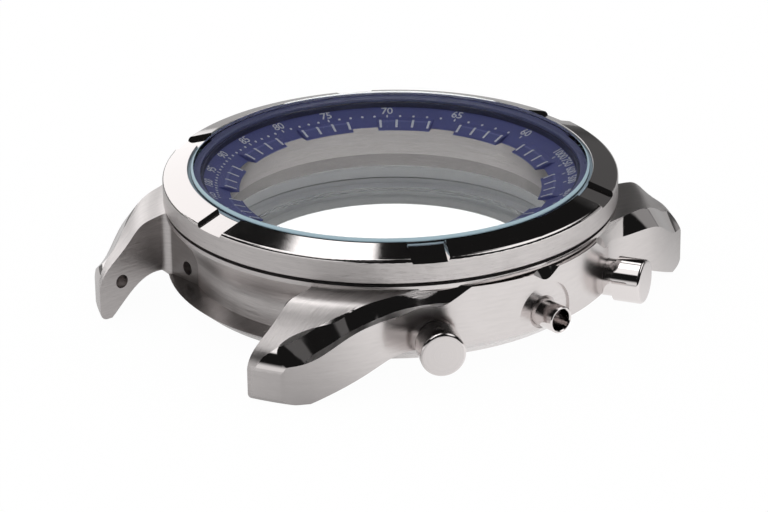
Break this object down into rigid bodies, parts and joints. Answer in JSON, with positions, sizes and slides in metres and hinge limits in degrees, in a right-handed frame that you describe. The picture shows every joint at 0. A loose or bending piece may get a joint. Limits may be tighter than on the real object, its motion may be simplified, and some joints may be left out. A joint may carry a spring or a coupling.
{
  "type": "empty watch case",
  "caption": "Empty round chronograph watch case in steel with bezel, flat crystal, blue chapter ring, two pushers, crown tube and a glazed back that pulls off.",
  "frame": {"origin": "case axis in the plane that the dial bears against", "axes": "+Z out through the crystal, +X towards the crown, +Y towards twelve o'clock"},
  "size_m": [0.0452, 0.0508, 0.0124],
  "materials": {
    "case_steel": "satin brushed flanks, tops and walls with polished bevels and flare",
    "bezel_steel": "satin band with a mirror-polished cone and milled notches",
    "back_steel": "satin with a polished foot",
    "turned_steel": "mirror polished, with a fine turned grain on the push faces",
    "spring_steel": "drawn wire and stamped strip",
    "black_gasket": "smooth black moulded seal",
    "clear_gasket": "milky seal under the back glass",
    "crystal_glass": "clear flat crystal with a pale blue-green edge",
    "window_glass": "clear flat glass",
    "ring_blue": "dark blue enamel with fine white printed figures and ticks"
  },
  "bodies": {
    "case": {"case_middle": "case_steel", "bezel": "bezel_steel", "bezel_gasket": "black_gasket", "crystal": "crystal_glass", "crystal_gasket": "black_gasket", "flange_ring": "ring_blue", "crown_tube": "turned_steel", "pusher_upper_tube": "turned_steel", "pusher_upper_seal": "black_gasket", "pusher_upper_spring": "spring_steel", "pusher_lower_tube": "turned_steel", "pusher_lower_seal": "black_gasket", "pusher_lower_spring": "spring_steel"},
    "back": {"case_back": "back_steel", "case_back_gasket": "black_gasket", "back_window": "window_glass", "back_window_gasket": "clear_gasket"},
    "upper_pusher": {"pusher_upper_button": "turned_steel", "pusher_upper_clip": "spring_steel"},
    "lower_pusher": {"pusher_lower_button": "turned_steel", "pusher_lower_clip": "spring_steel"}
  },
  "joints": [
    {"name": "pusher_upper_press", "type": "slide", "parent": "case", "child": "upper_pusher", "axis": [-0.8741, -0.4857, 0], "range_m": [0, 0.0006], "stiffness_N_per_m": 1200, "springref_m": -0.001, "deforming": ["pusher_upper_spring"]},
    {"name": "pusher_lower_press", "type": "slide", "parent": "case", "child": "lower_pusher", "axis": [-0.8741, 0.4857, 0], "range_m": [0, 0.0006], "stiffness_N_per_m": 1200, "springref_m": -0.001, "deforming": ["pusher_lower_spring"]},
    {"name": "case_back_pull", "type": "slide", "parent": "case", "child": "back", "axis": [0, 0, -1], "range_m": [0, 0.012]}
  ]
}
